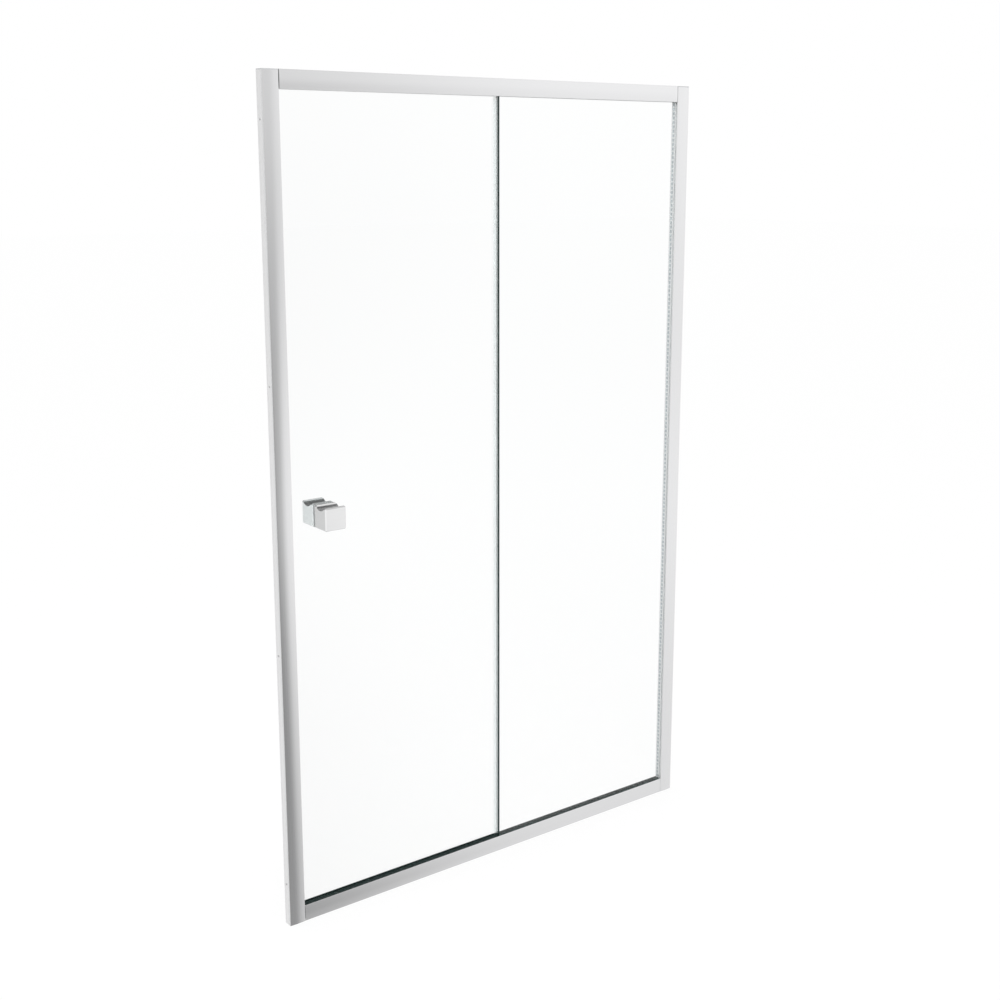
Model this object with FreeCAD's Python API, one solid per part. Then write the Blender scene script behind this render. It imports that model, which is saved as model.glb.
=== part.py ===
import FreeCAD, Part
import math
import os

# Framed sliding shower door for a niche, in millimetres.
# X runs to the right, Y into the shower and Z up. The origin is the middle of the sill's underside.

# Frame
FRAME_WIDTH = 1200.0
FRAME_HEIGHT = 1900.0
FACE_CROWN = 0.8
FACE_WALL = 1.2
REAR_WALL = 1.4
PARTITION = 1.2
TOP_WALL = 1.4
SHELF = 1.4
EDGE_ROUND = 0.7
END_SEAM = 0.4
SAME_PLACE = 0.001

# Glass and glazing
FIXED_GLASS = 8.0
DOOR_GLASS = 6.0
ARRIS = 0.5
GASKET = 0.7
GLASS_BITE = 12.0
GROOVE_DEPTH = 15.0
FIXED_EDGE_X = 2.0
DOOR_OVERLAP = 3.0
SETTING_LENGTH = 60.0
SETTING_INSET = 95.0
INFILL_WALL = 1.1
INFILL_GAP = 0.6

# Jambs and wall channels
JAMB_CAVITY = 23.2
JAMB_WEB = 1.2
JAMB_POCKET = 14.0
WALL_STANDOFF = 0.6
CHANNEL_WEB = 2.0
CHANNEL_LEG = 1.3
CHANNEL_FIT = 0.15
LEG_CLEARANCE = 1.5
WALL_HOLE = 4.5
WALL_HOLE_INSET = 100.0
INNER_HOLE_SPACING = 600.0
SEALANT_GROOVE = 1.2
SEALANT_GROOVE_DEPTH = 0.5
SEALANT_GROOVE_OFFSET = 5.5
CAP_PLATE = 2.0
CAP_PLUG = 8.0
CAP_FIT = 0.3

# Screws of the frame
PORT_SCREW = 4.0
PORT_WALL = 1.5
PORT_GRIP = 14.0
PORT_SCREW_HEAD = 7.0
PORT_SCREW_HEAD_HEIGHT = 2.4
SCREW_FIT = 0.03
SCREW_PASS = 0.2
JAMB_SCREW = 3.9
JAMB_SCREW_REACH = 7.0
JAMB_SCREW_HEAD = 7.0
JAMB_SCREW_HEAD_HEIGHT = 2.2
JAMB_SCREW_INSET = 150.0
JAMB_SCREW_FROM_WALL = 10.0
COVER_WALL = 1.2
COVER_FIT = 0.3

# Door lane and roller track
LANE_GAP = 2.1
LANE_HEIGHT = 18.0
LEDGE = 1.5
TRACK_SLOT = 4.0
WHEEL = 14.0
WHEEL_WIDTH = 3.0
WHEEL_GAP = 0.2
WHEEL_HEADROOM = 3.9
WHEEL_BORE_FIT = 0.04
WHEEL_SIDE_GAP = 0.4
WHEEL_GROOVE = 0.5
AXLE = 4.0
AXLE_HEAD = 6.4
AXLE_HEAD_THICK = 0.8
AXLE_HEAD_GAP = 0.15
HANGER_PLATE = 1.8
HANGER_FOOT = 50.0
HANGER_NECK = 11.0
HANGER_FROM_EDGE = 96.0
HANGER_SLIT_FIT = 0.05
CARRIER_CLEAR = 1.2
CARRIER_SLIT = 6.5
CARRIER_BRIDGE = 1.8
CARRIER_WALL = 1.1
CARRIER_GRIP = 7.5
GLUE = 0.1
CARRIER_SCREW = 3.0
CARRIER_SCREW_HEAD = 5.0
CARRIER_SCREW_HEAD_HEIGHT = 1.2
CARRIER_SCREW_SPACING = 34.0
STOP_LENGTH = 14.0
STOP_HEIGHT = 12.0
STOP_SIDE_GAP = 0.5
STOP_GAP = 0.3
DOOR_TRAVEL = 430.0

# Sill
SILL_BASE = 1.5
SILL_CHAMBER = 7.1
SILL_FLOOR = 1.4
SILL_LANE = 28.5
LINER = 0.9
WEEP_LENGTH = 24.0
WEEP_HEIGHT = 3.0
WEEP_SPACING = 350.0
SHOE_CLEAR = 2.5
SHOE_BASE = 1.6
SHOE_WALL = 0.8
SHOE_HEIGHT = 14.0
SHOE_LENGTH = 40.0
SHOE_FROM_EDGE = 60.0

# Seals of the door
STRIKE = 4.0
STRIKE_SIDE_GAP = 0.6
CLOSE_GAP = 0.3
SEAL_WALL = 0.9
SEAL_NOSE = 4.0
SEAL_LEG = 9.0
SEAL_END_GAP = 1.5
FIN_GAP = 0.3

# Handles
HANDLE = 52.0
HANDLE_DEPTH = 48.0
HANDLE_FROM_EDGE = 91.8
HANDLE_HEIGHT = 952.0
HANDLE_BEVEL = 2.5
SCOOP_LAND = 7.0
SCOOP_LIP = 5.5
SCOOP_DEPTH = 9.0
HANDLE_WASHER = 2.0
WASHER_INSET = 1.0
STUD = 8.0
STUD_GRIP = 14.0
STUD_END_GAP = 1.0
BUSH_WALL = 2.0
GRUB = 5.0
GRUB_LENGTH = 8.0

# Layers from the front of the frame to its rear
DOOR_LANE = DOOR_GLASS + 2 * LANE_GAP
FRAME_DEPTH = FACE_CROWN + FACE_WALL + 2 * GASKET + FIXED_GLASS + PARTITION + DOOR_LANE + REAR_WALL
Y_FRONT = -FRAME_DEPTH / 2
Y_FACE = Y_FRONT + FACE_CROWN
Y_GROOVE = Y_FACE + FACE_WALL
Y_FIXED = Y_GROOVE + GASKET
Y_FIXED_REAR = Y_FIXED + FIXED_GLASS
Y_PARTITION = Y_FIXED_REAR + GASKET
Y_LANE = Y_PARTITION + PARTITION
Y_LANE_REAR = Y_LANE + DOOR_LANE
Y_REAR = Y_LANE_REAR + REAR_WALL
Y_LANE_MID = (Y_LANE + Y_LANE_REAR) / 2
Y_DOOR = Y_LANE_MID - DOOR_GLASS / 2
Y_DOOR_REAR = Y_LANE_MID + DOOR_GLASS / 2
Y_PORT = (Y_GROOVE + Y_PARTITION) / 2
Y_MID = (Y_GROOVE + Y_LANE_REAR) / 2

# Heights
HEAD_FACE = LANE_HEIGHT + LEDGE + WHEEL_GAP + WHEEL + WHEEL_HEADROOM + TOP_WALL
SILL_FACE = SILL_BASE + SILL_CHAMBER + SILL_FLOOR + SILL_LANE
Z_HEAD = FRAME_HEIGHT - HEAD_FACE
Z_SILL_FLOOR = SILL_FACE - SILL_LANE
Z_LEDGE = Z_HEAD + LANE_HEIGHT
Z_TRACK = Z_LEDGE + LEDGE
Z_AXLE = Z_TRACK + WHEEL_GAP + WHEEL / 2
Z_CARRIER = Z_LEDGE - CARRIER_CLEAR
Z_SLIT = Z_CARRIER - CARRIER_SLIT
Z_DOOR_TOP = Z_SLIT - CARRIER_BRIDGE - GLUE
Z_DOOR = Z_SILL_FLOOR + LINER + SHOE_CLEAR + SHOE_BASE
Z_FIXED = SILL_FACE - GLASS_BITE
Z_FIXED_TOP = Z_HEAD + GLASS_BITE
PORT_BAND = PORT_SCREW + 2 * PORT_WALL
Z_TOP_PORT = FRAME_HEIGHT - CAP_PLATE - CAP_FIT - PORT_SCREW_HEAD / 2
HEAD_PORTS = (Z_HEAD + GROOVE_DEPTH + SHELF + PORT_BAND / 2, Z_TOP_PORT)
SILL_PORTS = (SILL_BASE + PORT_BAND / 2, SILL_FACE - GROOVE_DEPTH - SHELF - PORT_BAND / 2)

# Distances from a wall, and places along the width
JAMB_FLOOR = WALL_STANDOFF + JAMB_CAVITY + JAMB_WEB
JAMB_FACE = JAMB_FLOOR + JAMB_POCKET
OPENING = FRAME_WIDTH / 2 - JAMB_FACE
RAIL_END = OPENING - END_SEAM
DOOR_EDGE_X = -FRAME_WIDTH / 2 + JAMB_FLOOR + STRIKE + CLOSE_GAP + SEAL_NOSE + SEAL_WALL
DOOR_TRAIL_X = FIXED_EDGE_X + DOOR_OVERLAP
FIXED_END_X = OPENING + GLASS_BITE
HANGERS = (DOOR_EDGE_X + HANGER_FROM_EDGE, DOOR_TRAIL_X - HANGER_FROM_EDGE)
SHOES = (DOOR_EDGE_X + SHOE_FROM_EDGE, DOOR_TRAIL_X - SHOE_FROM_EDGE)
HANDLE_X = DOOR_EDGE_X + HANDLE_FROM_EDGE


def vec(x, y, z):
    return FreeCAD.Vector(x, y, z)


def box(x0, x1, y0, y1, z0, z1):
    return Part.makeBox(x1 - x0, y1 - y0, z1 - z0, vec(x0, y0, z0))


def rod_x(x0, x1, y, z, radius):
    return Part.makeCylinder(radius, x1 - x0, vec(x0, y, z), vec(1, 0, 0))


def rod_y(x, y0, y1, z, radius):
    return Part.makeCylinder(radius, y1 - y0, vec(x, y0, z), vec(0, 1, 0))


def rod_z(x, y, z0, z1, radius):
    return Part.makeCylinder(radius, z1 - z0, vec(x, y, z0), vec(0, 0, 1))


def joined(shapes):
    return shapes[0].fuse(shapes[1:]).removeSplitter()


def mirrored(shape):
    return shape.mirror(vec(0, 0, 0), vec(1, 0, 0))


def crowned_bar(start, across, along):
    """A bar with a gently crowned front face: across is its face width, along its length."""
    left = FreeCAD.Vector(start)
    right = left + across
    middle = (left + right) / 2
    crown = vec(0, -FACE_CROWN, 0)
    back = vec(0, Y_REAR - Y_FACE, 0)
    edges = [
        Part.Arc(left, middle + crown, right).toShape(),
        Part.LineSegment(right, right + back).toShape(),
        Part.LineSegment(right + back, left + back).toShape(),
        Part.LineSegment(left + back, left).toShape(),
    ]
    bar = Part.Face(Part.Wire(edges)).extrude(along)
    corners = [edge for edge in bar.Edges if is_front_edge(edge, along)]
    return bar.makeFillet(EDGE_ROUND, corners)


def is_front_edge(edge, along):
    straight = abs(edge.Length - along.Length) < SAME_PLACE
    return straight and abs(edge.CenterOfMass.y - Y_FACE) < SAME_PLACE


# Jamb and wall channel, drawn at the right wall and mirrored to the left
def from_wall(distance):
    return FRAME_WIDTH / 2 - distance


def wall_box(near, far, y0, y1, z0, z1):
    return box(from_wall(far), from_wall(near), y0, y1, z0, z1)


def jamb_screw_heights():
    return (JAMB_SCREW_INSET, FRAME_HEIGHT / 2, FRAME_HEIGHT - JAMB_SCREW_INSET)


def wall_hole_heights():
    middle = FRAME_HEIGHT / 2
    inner = INNER_HOLE_SPACING / 2
    return (WALL_HOLE_INSET, middle - inner, middle + inner, FRAME_HEIGHT - WALL_HOLE_INSET)


def jamb():
    top = FRAME_HEIGHT - CAP_PLATE
    start = vec(from_wall(JAMB_FACE), Y_FACE, 0)
    body = crowned_bar(start, vec(JAMB_FACE - WALL_STANDOFF, 0, 0), vec(0, 0, top))
    cavity = WALL_STANDOFF + JAMB_CAVITY
    cuts = [
        wall_box(WALL_STANDOFF, cavity, Y_GROOVE, Y_LANE_REAR, 0, top),
        wall_box(JAMB_FLOOR, JAMB_FACE, Y_GROOVE, Y_PARTITION, 0, top),
        wall_box(JAMB_FLOOR, JAMB_FACE, Y_LANE, Y_LANE_REAR, 0, top),
    ]
    for z in HEAD_PORTS + SILL_PORTS:
        hole = PORT_SCREW / 2 + SCREW_PASS
        cuts.append(rod_x(from_wall(JAMB_FLOOR), from_wall(cavity), Y_PORT, z, hole))
    for z in jamb_screw_heights():
        hole = JAMB_SCREW / 2 + SCREW_PASS
        cuts.append(rod_y(from_wall(JAMB_SCREW_FROM_WALL), Y_LANE_REAR, Y_REAR, z, hole))
    return body.cut(cuts)


def wall_channel():
    top = FRAME_HEIGHT - CAP_PLATE
    y0 = Y_GROOVE + CHANNEL_FIT
    y1 = Y_LANE_REAR - CHANNEL_FIT
    reach = WALL_STANDOFF + JAMB_CAVITY - PORT_SCREW_HEAD_HEIGHT - LEG_CLEARANCE
    body = wall_box(0, reach, y0, y1, 0, top)
    cuts = [wall_box(CHANNEL_WEB, reach, y0 + CHANNEL_LEG, y1 - CHANNEL_LEG, 0, top)]
    for offset in (-SEALANT_GROOVE_OFFSET, SEALANT_GROOVE_OFFSET):
        y = Y_MID + offset - SEALANT_GROOVE / 2
        cuts.append(wall_box(0, SEALANT_GROOVE_DEPTH, y, y + SEALANT_GROOVE, 0, top))
    for z in wall_hole_heights():
        cuts.append(rod_x(from_wall(CHANNEL_WEB), from_wall(0), Y_MID, z, WALL_HOLE / 2))
    for z in jamb_screw_heights():
        hole = JAMB_SCREW / 2 + SCREW_FIT
        cuts.append(rod_y(from_wall(JAMB_SCREW_FROM_WALL), y1 - CHANNEL_LEG, y1, z, hole))
    return body.cut(cuts)


def jamb_cap():
    z = FRAME_HEIGHT - CAP_PLATE
    start = vec(from_wall(JAMB_FACE), Y_FACE, z)
    plate = crowned_bar(start, vec(JAMB_FACE - WALL_STANDOFF, 0, 0), vec(0, 0, CAP_PLATE))
    near = JAMB_FLOOR + CAP_FIT
    far = JAMB_FACE - CAP_FIT
    plug = wall_box(near, far, Y_LANE + CAP_FIT, Y_LANE_REAR - CAP_FIT, z - CAP_PLUG, z)
    return joined([plate, plug])


def jamb_screws():
    x = from_wall(JAMB_SCREW_FROM_WALL)
    screws = []
    for z in jamb_screw_heights():
        shank = rod_y(x, Y_REAR - JAMB_SCREW_REACH, Y_REAR, z, JAMB_SCREW / 2)
        head = rod_y(x, Y_REAR, Y_REAR + JAMB_SCREW_HEAD_HEIGHT, z, JAMB_SCREW_HEAD / 2)
        screws.append(joined([shank, head]))
    return screws


def screw_covers():
    x = from_wall(JAMB_SCREW_FROM_WALL)
    room = JAMB_SCREW_HEAD / 2 + COVER_FIT
    height = JAMB_SCREW_HEAD_HEIGHT + COVER_FIT
    covers = []
    for z in jamb_screw_heights():
        base = rod_y(x, Y_REAR, Y_REAR + height, z, room + COVER_WALL)
        crown = Part.makeCone(room + COVER_WALL, room, COVER_WALL, vec(x, Y_REAR + height, z), vec(0, 1, 0))
        covers.append(joined([base, crown]).cut(rod_y(x, Y_REAR, Y_REAR + height, z, room)))
    return covers


def corner_screws():
    head_start = from_wall(WALL_STANDOFF + JAMB_CAVITY)
    screws = []
    for z in HEAD_PORTS + SILL_PORTS:
        shank = rod_x(RAIL_END - PORT_GRIP, head_start, Y_PORT, z, PORT_SCREW / 2)
        head = rod_x(head_start, head_start + PORT_SCREW_HEAD_HEIGHT, Y_PORT, z, PORT_SCREW_HEAD / 2)
        screws.append(joined([shank, head]))
    return screws


# Head rail and sill rail
def port_holes(heights):
    hole = PORT_SCREW / 2 + SCREW_FIT
    return [rod_x(-RAIL_END, RAIL_END, Y_PORT, z, hole) for z in heights]


def rail_box(y0, y1, z0, z1):
    return box(-RAIL_END, RAIL_END, y0, y1, z0, z1)


def head_rail():
    start = vec(-RAIL_END, Y_FACE, Z_HEAD)
    body = crowned_bar(start, vec(0, 0, HEAD_FACE), vec(2 * RAIL_END, 0, 0))
    chamber_low = HEAD_PORTS[0] + PORT_BAND / 2
    chamber_high = HEAD_PORTS[1] - PORT_BAND / 2
    slot_half = TRACK_SLOT / 2
    cuts = [
        rail_box(Y_GROOVE, Y_PARTITION, Z_HEAD, Z_HEAD + GROOVE_DEPTH),
        rail_box(Y_GROOVE, Y_PARTITION, chamber_low, chamber_high),
        rail_box(Y_LANE, Y_LANE_REAR, Z_HEAD, Z_LEDGE),
        rail_box(Y_LANE_MID - slot_half, Y_LANE_MID + slot_half, Z_LEDGE, Z_TRACK),
        rail_box(Y_LANE, Y_LANE_REAR, Z_TRACK, FRAME_HEIGHT - TOP_WALL),
    ]
    return body.cut(cuts + port_holes(HEAD_PORTS))


def sill_rail():
    start = vec(-RAIL_END, Y_FACE, 0)
    body = crowned_bar(start, vec(0, 0, SILL_FACE), vec(2 * RAIL_END, 0, 0))
    chamber_low = SILL_PORTS[0] + PORT_BAND / 2
    chamber_high = SILL_PORTS[1] - PORT_BAND / 2
    cuts = [
        rail_box(Y_GROOVE, Y_PARTITION, SILL_FACE - GROOVE_DEPTH, SILL_FACE),
        rail_box(Y_GROOVE, Y_PARTITION, chamber_low, chamber_high),
        rail_box(Y_LANE, Y_LANE_REAR, SILL_BASE, SILL_BASE + SILL_CHAMBER),
        rail_box(Y_LANE, Y_LANE_REAR, Z_SILL_FLOOR, SILL_FACE),
    ]
    cuts += weep_slots(Y_LANE_REAR, Y_REAR)
    return body.cut(cuts + port_holes(SILL_PORTS))


def weep_slots(y0, y1):
    low = Z_SILL_FLOOR + LINER
    slots = []
    for x in (-WEEP_SPACING, 0, WEEP_SPACING):
        slots.append(box(x - WEEP_LENGTH / 2, x + WEEP_LENGTH / 2, y0, y1, low, low + WEEP_HEIGHT))
    return slots


def sill_liner():
    front = Y_LANE + LINER
    rear = Y_LANE_REAR - LINER
    liner = joined([
        rail_box(Y_LANE, front, Z_SILL_FLOOR, SILL_FACE + LINER),
        rail_box(Y_PARTITION, front, SILL_FACE, SILL_FACE + LINER),
        rail_box(Y_LANE, Y_LANE_REAR, Z_SILL_FLOOR, Z_SILL_FLOOR + LINER),
        rail_box(rear, Y_LANE_REAR, Z_SILL_FLOOR, SILL_FACE + LINER),
        rail_box(rear, Y_REAR, SILL_FACE, SILL_FACE + LINER),
    ])
    return liner.cut(weep_slots(rear, Y_LANE_REAR))


# Fixed panel
def glass_pane(x0, x1, y0, y1, z0, z1):
    pane = box(x0, x1, y0, y1, z0, z1)
    return pane.makeChamfer(ARRIS, pane.Edges)


def fixed_glass():
    return glass_pane(FIXED_EDGE_X, FIXED_END_X, Y_FIXED, Y_FIXED_REAR, Z_FIXED, Z_FIXED_TOP)


def sill_gasket():
    outer = box(FIXED_EDGE_X, RAIL_END, Y_GROOVE, Y_PARTITION, Z_FIXED - GASKET, SILL_FACE)
    return outer.cut(box(FIXED_EDGE_X, RAIL_END, Y_FIXED, Y_FIXED_REAR, Z_FIXED, SILL_FACE))


def head_gasket():
    outer = box(FIXED_EDGE_X, RAIL_END, Y_GROOVE, Y_PARTITION, Z_HEAD, Z_FIXED_TOP + GASKET)
    return outer.cut(box(FIXED_EDGE_X, RAIL_END, Y_FIXED, Y_FIXED_REAR, Z_HEAD, Z_FIXED_TOP))


def jamb_gasket():
    outer = box(OPENING, FIXED_END_X + GASKET, Y_GROOVE, Y_PARTITION, Z_FIXED, Z_FIXED_TOP)
    return outer.cut(box(OPENING, FIXED_END_X, Y_FIXED, Y_FIXED_REAR, Z_FIXED, Z_FIXED_TOP))


def setting_blocks():
    low = SILL_FACE - GROOVE_DEPTH
    starts = (FIXED_EDGE_X + SETTING_INSET, RAIL_END - SETTING_INSET - SETTING_LENGTH)
    return [box(x, x + SETTING_LENGTH, Y_FIXED, Y_FIXED_REAR, low, Z_FIXED - GASKET) for x in starts]


# Strips that close what the glass leaves open
def sill_infill():
    end = FIXED_EDGE_X - INFILL_GAP
    low = SILL_FACE - GROOVE_DEPTH
    outer = box(-RAIL_END, end, Y_GROOVE, Y_PARTITION, low, SILL_FACE)
    inner_y0 = Y_GROOVE + INFILL_WALL
    inner_y1 = Y_PARTITION - INFILL_WALL
    return outer.cut(box(-RAIL_END, end, inner_y0, inner_y1, low, SILL_FACE - INFILL_WALL))


def head_infill():
    end = FIXED_EDGE_X - INFILL_GAP
    high = Z_HEAD + GROOVE_DEPTH
    outer = box(-RAIL_END, end, Y_GROOVE, Y_PARTITION, Z_HEAD, high)
    inner_y0 = Y_GROOVE + INFILL_WALL
    inner_y1 = Y_PARTITION - INFILL_WALL
    return outer.cut(box(-RAIL_END, end, inner_y0, inner_y1, Z_HEAD + INFILL_WALL, high))


def pocket_strip(y0, y1):
    low = SILL_FACE + INFILL_GAP
    high = Z_HEAD - INFILL_GAP
    outer = wall_box(JAMB_FLOOR, JAMB_FACE, y0, y1, low, high)
    hollow_end = JAMB_FACE - INFILL_WALL
    return outer.cut(wall_box(JAMB_FLOOR, hollow_end, y0 + INFILL_WALL, y1 - INFILL_WALL, low, high))


def strike_seal():
    x = -from_wall(JAMB_FLOOR)
    y0 = Y_LANE + STRIKE_SIDE_GAP
    y1 = Y_LANE_REAR - STRIKE_SIDE_GAP
    return box(x, x + STRIKE, y0, y1, SILL_FACE + SEAL_END_GAP, Z_HEAD - SEAL_END_GAP)


def track_stop(x0):
    x1 = x0 + STOP_LENGTH
    y0 = Y_LANE + STOP_SIDE_GAP
    y1 = Y_LANE_REAR - STOP_SIDE_GAP
    tongue = TRACK_SLOT / 2 - CAP_FIT
    return joined([
        box(x0, x1, y0, y1, Z_TRACK, Z_TRACK + STOP_HEIGHT),
        box(x0, x1, Y_LANE_MID - tongue, Y_LANE_MID + tongue, Z_LEDGE, Z_TRACK),
    ])


def left_track_stop():
    return track_stop(HANGERS[0] - WHEEL / 2 - STOP_GAP - STOP_LENGTH)


def right_track_stop():
    return track_stop(HANGERS[1] + DOOR_TRAVEL + WHEEL / 2 + STOP_GAP)


# Sliding door
def door_glass():
    pane = glass_pane(DOOR_EDGE_X, DOOR_TRAIL_X, Y_DOOR, Y_DOOR_REAR, Z_DOOR, Z_DOOR_TOP)
    hole = STUD / 2 + BUSH_WALL + SCREW_FIT
    return pane.cut(rod_y(HANDLE_X, Y_DOOR, Y_DOOR_REAR, HANDLE_HEIGHT, hole))


def top_carrier():
    y0 = Y_DOOR - GLUE - CARRIER_WALL
    y1 = Y_DOOR_REAR + GLUE + CARRIER_WALL
    x0 = DOOR_EDGE_X
    x1 = DOOR_TRAIL_X
    body = box(x0, x1, y0, y1, Z_DOOR_TOP - CARRIER_GRIP, Z_CARRIER)
    slit = HANGER_PLATE / 2 + HANGER_SLIT_FIT
    seat = Z_DOOR_TOP + GLUE
    cuts = [
        box(x0, x1, y0 + CARRIER_WALL, y1 - CARRIER_WALL, Z_DOOR_TOP - CARRIER_GRIP, seat),
        box(x0, x1, Y_LANE_MID - slit, Y_LANE_MID + slit, Z_SLIT, Z_CARRIER),
    ]
    z = carrier_screw_height()
    for x in carrier_screw_places():
        cuts.append(rod_y(x, y0, y1, z, CARRIER_SCREW / 2 + SCREW_FIT))
        cuts.append(rod_y(x, y0, y0 + CARRIER_SCREW_HEAD_HEIGHT, z, CARRIER_SCREW_HEAD / 2 + SCREW_FIT))
    return body.cut(cuts)


def carrier_screw_height():
    return Z_SLIT + CARRIER_SLIT / 2


def carrier_screw_places():
    half = CARRIER_SCREW_SPACING / 2
    return [x + side * half for x in HANGERS for side in (-1, 1)]


def carrier_screws():
    y0 = Y_DOOR - GLUE - CARRIER_WALL
    y1 = Y_DOOR_REAR + GLUE + CARRIER_WALL
    z = carrier_screw_height()
    screws = []
    for x in carrier_screw_places():
        head = rod_y(x, y0, y0 + CARRIER_SCREW_HEAD_HEIGHT, z, CARRIER_SCREW_HEAD / 2)
        shank = rod_y(x, y0 + CARRIER_SCREW_HEAD_HEIGHT, y1, z, CARRIER_SCREW / 2)
        screws.append(joined([head, shank]))
    return screws


def hanger(x):
    y0 = Y_LANE_MID - HANGER_PLATE / 2
    y1 = Y_LANE_MID + HANGER_PLATE / 2
    half_neck = HANGER_NECK / 2
    plate = joined([
        box(x - HANGER_FOOT / 2, x + HANGER_FOOT / 2, y0, y1, Z_SLIT, Z_CARRIER),
        box(x - half_neck, x + half_neck, y0, y1, Z_SLIT, Z_AXLE),
        rod_y(x, y0, y1, Z_AXLE, half_neck),
    ])
    cuts = [rod_y(x, y0, y1, Z_AXLE, AXLE / 2 + SCREW_FIT)]
    for side in (-1, 1):
        hole_x = x + side * CARRIER_SCREW_SPACING / 2
        cuts.append(rod_y(hole_x, y0, y1, carrier_screw_height(), CARRIER_SCREW / 2 + SCREW_FIT))
    return plate.cut(cuts)


def wheel_faces(side):
    """Inner and outer face of the wheel on one side of the hanger plate."""
    inner = Y_LANE_MID + side * (HANGER_PLATE / 2 + WHEEL_SIDE_GAP)
    return inner, inner + side * WHEEL_WIDTH


def span_y(x, ya, yb, z, radius):
    return rod_y(x, min(ya, yb), max(ya, yb), z, radius)


def wheel(x, side):
    inner, outer = wheel_faces(side)
    recess = outer - side * (AXLE_HEAD_THICK + AXLE_HEAD_GAP)
    tread = span_y(x, inner, outer, Z_AXLE, WHEEL / 2)
    rim_edges = [edge for edge in tread.Edges if edge.Length > WHEEL and edge.isClosed()]
    tread = tread.makeChamfer(WHEEL_GROOVE, rim_edges)
    bore = span_y(x, inner, outer, Z_AXLE, AXLE / 2 + WHEEL_BORE_FIT)
    head_room = span_y(x, recess, outer, Z_AXLE, AXLE_HEAD / 2 + WHEEL_SIDE_GAP)
    return tread.cut([bore, head_room])


def axle(x):
    front = wheel_faces(-1)[1]
    rear = wheel_faces(1)[1]
    return joined([
        rod_y(x, front, rear, Z_AXLE, AXLE / 2),
        rod_y(x, front, front + AXLE_HEAD_THICK, Z_AXLE, AXLE_HEAD / 2),
        rod_y(x, rear - AXLE_HEAD_THICK, rear, Z_AXLE, AXLE_HEAD / 2),
    ])


def guide_shoe(x):
    half = SHOE_LENGTH / 2
    low = Z_DOOR - SHOE_BASE
    outer = box(x - half, x + half, Y_DOOR - SHOE_WALL, Y_DOOR_REAR + SHOE_WALL, low, low + SHOE_HEIGHT)
    return outer.cut(box(x - half, x + half, Y_DOOR, Y_DOOR_REAR, Z_DOOR, low + SHOE_HEIGHT))


def leading_seal():
    z0 = SILL_FACE + SEAL_END_GAP
    z1 = Z_HEAD - SEAL_END_GAP
    y0 = Y_DOOR - SEAL_WALL
    y1 = Y_DOOR_REAR + SEAL_WALL
    nose = DOOR_EDGE_X - SEAL_WALL - SEAL_NOSE
    outer = box(nose, DOOR_EDGE_X + SEAL_LEG, y0, y1, z0, z1)
    return outer.cut(box(DOOR_EDGE_X, DOOR_EDGE_X + SEAL_LEG, Y_DOOR, Y_DOOR_REAR, z0, z1))


def trailing_seal():
    z0 = SILL_FACE + LINER + SEAL_END_GAP
    z1 = Z_HEAD - SEAL_END_GAP
    start = DOOR_TRAIL_X - SEAL_LEG
    end = DOOR_TRAIL_X + SEAL_WALL
    clip = box(start, end, Y_DOOR - SEAL_WALL, Y_DOOR_REAR + SEAL_WALL, z0, z1)
    clip = clip.cut(box(start, DOOR_TRAIL_X, Y_DOOR, Y_DOOR_REAR, z0, z1))
    fin = box(DOOR_TRAIL_X, end, Y_FIXED_REAR + FIN_GAP, Y_DOOR, z0, z1)
    return joined([clip, fin])


# Handles
def handle_block(glass_face, outward):
    """A square block that stands on one face of the door, with a finger scoop across its top."""
    back = glass_face + outward * HANDLE_WASHER
    front = back + outward * HANDLE_DEPTH
    half = HANDLE / 2
    y0 = min(back, front)
    y1 = max(back, front)
    top = HANDLE_HEIGHT + half
    block = box(HANDLE_X - half, HANDLE_X + half, y0, y1, HANDLE_HEIGHT - half, top)
    block = block.makeChamfer(HANDLE_BEVEL, block.Edges)
    scoop_start = back + outward * SCOOP_LAND
    scoop_end = front - outward * SCOOP_LIP
    half_chord = abs(scoop_end - scoop_start) / 2
    radius = (half_chord ** 2 + SCOOP_DEPTH ** 2) / (2 * SCOOP_DEPTH)
    axis_y = (scoop_start + scoop_end) / 2
    scoop = rod_x(HANDLE_X - HANDLE, HANDLE_X + HANDLE, axis_y, top + radius - SCOOP_DEPTH, radius)
    stud_end = back + outward * (STUD_GRIP + STUD_END_GAP)
    stud_hole = span_y(HANDLE_X, back, stud_end, HANDLE_HEIGHT, STUD / 2 + SCREW_FIT)
    grub_y = back + outward * STUD_GRIP / 2
    grub_hole = rod_z(HANDLE_X, grub_y, HANDLE_HEIGHT - half, HANDLE_HEIGHT, GRUB / 2 + SCREW_FIT)
    return block.cut([scoop, stud_hole, grub_hole])


def handle_stud():
    reach = HANDLE_WASHER + STUD_GRIP
    return rod_y(HANDLE_X, Y_DOOR - reach, Y_DOOR_REAR + reach, HANDLE_HEIGHT, STUD / 2)


def handle_bush():
    outer = rod_y(HANDLE_X, Y_DOOR, Y_DOOR_REAR, HANDLE_HEIGHT, STUD / 2 + BUSH_WALL)
    return outer.cut(rod_y(HANDLE_X, Y_DOOR, Y_DOOR_REAR, HANDLE_HEIGHT, STUD / 2 + SCREW_FIT))


def handle_washers():
    washers = []
    half = HANDLE / 2 - WASHER_INSET
    x0, x1 = HANDLE_X - half, HANDLE_X + half
    for y in (Y_DOOR - HANDLE_WASHER, Y_DOOR_REAR):
        pad = box(x0, x1, y, y + HANDLE_WASHER, HANDLE_HEIGHT - half, HANDLE_HEIGHT + half)
        hole = rod_y(HANDLE_X, y, y + HANDLE_WASHER, HANDLE_HEIGHT, STUD / 2 + SCREW_FIT)
        washers.append(pad.cut(hole))
    return washers


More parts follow.
